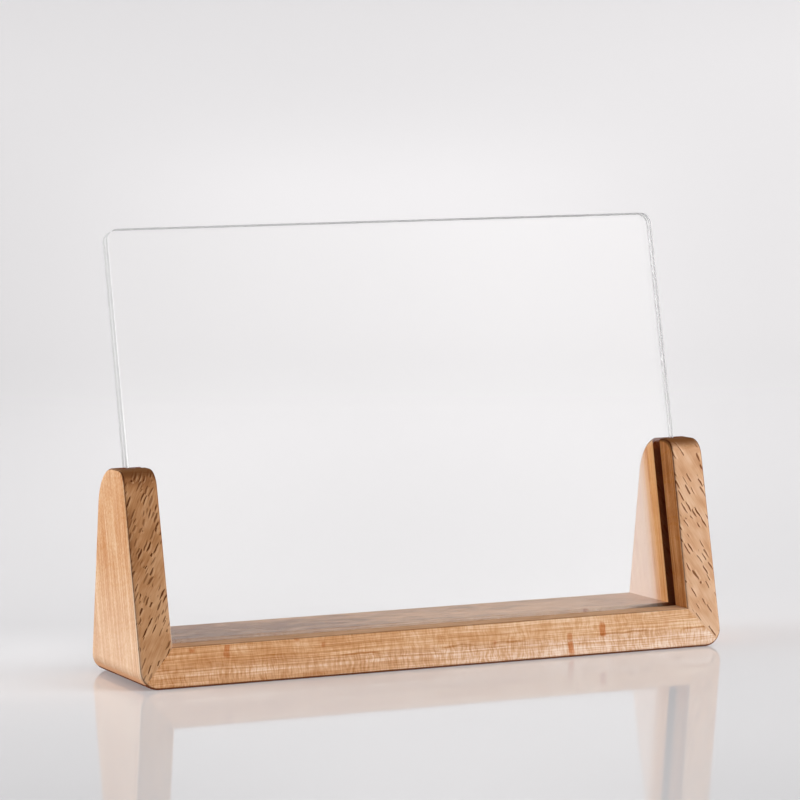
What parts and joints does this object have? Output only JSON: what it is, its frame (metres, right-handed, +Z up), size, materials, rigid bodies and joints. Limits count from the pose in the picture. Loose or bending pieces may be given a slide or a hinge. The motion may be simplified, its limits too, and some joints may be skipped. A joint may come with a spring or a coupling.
{
  "type": "wooden photo block holder",
  "caption": "Low U-shaped beech stand with leaning tapered uprights and a grooved rail, holding a print upright between clear sheets that lift out.",
  "frame": {"origin": "centre of the stand's footprint, on the surface it stands on", "axes": "+X along the rail to the viewer's right, +Y to the back, the way the sheets lean, +Z up"},
  "size_m": [0.1874, 0.0472, 0.1323],
  "materials": {
    "beech_upright": "oiled, fine sanded",
    "beech_rail": "oiled, fine sanded",
    "beech_dowel": "plain turned",
    "clear_acrylic": "clear, polished edges"
  },
  "bodies": {
    "stand": {"left_upright": "beech_upright", "right_upright": "beech_upright", "bottom_rail": "beech_rail", "left_corner_dowels": "beech_dowel", "right_corner_dowels": "beech_dowel"},
    "front_sheet": {"front_sheet": "clear_acrylic"},
    "rear_sheet": {"rear_sheet": "clear_acrylic"}
  },
  "joints": [
    {"name": "front_sheet_lift", "type": "slide", "parent": "stand", "child": "front_sheet", "axis": [0, 0.2011, 0.9796], "range_m": [0, 0.06]},
    {"name": "rear_sheet_lift", "type": "slide", "parent": "stand", "child": "rear_sheet", "axis": [0, 0.2011, 0.9796], "range_m": [0, 0.06]}
  ]
}
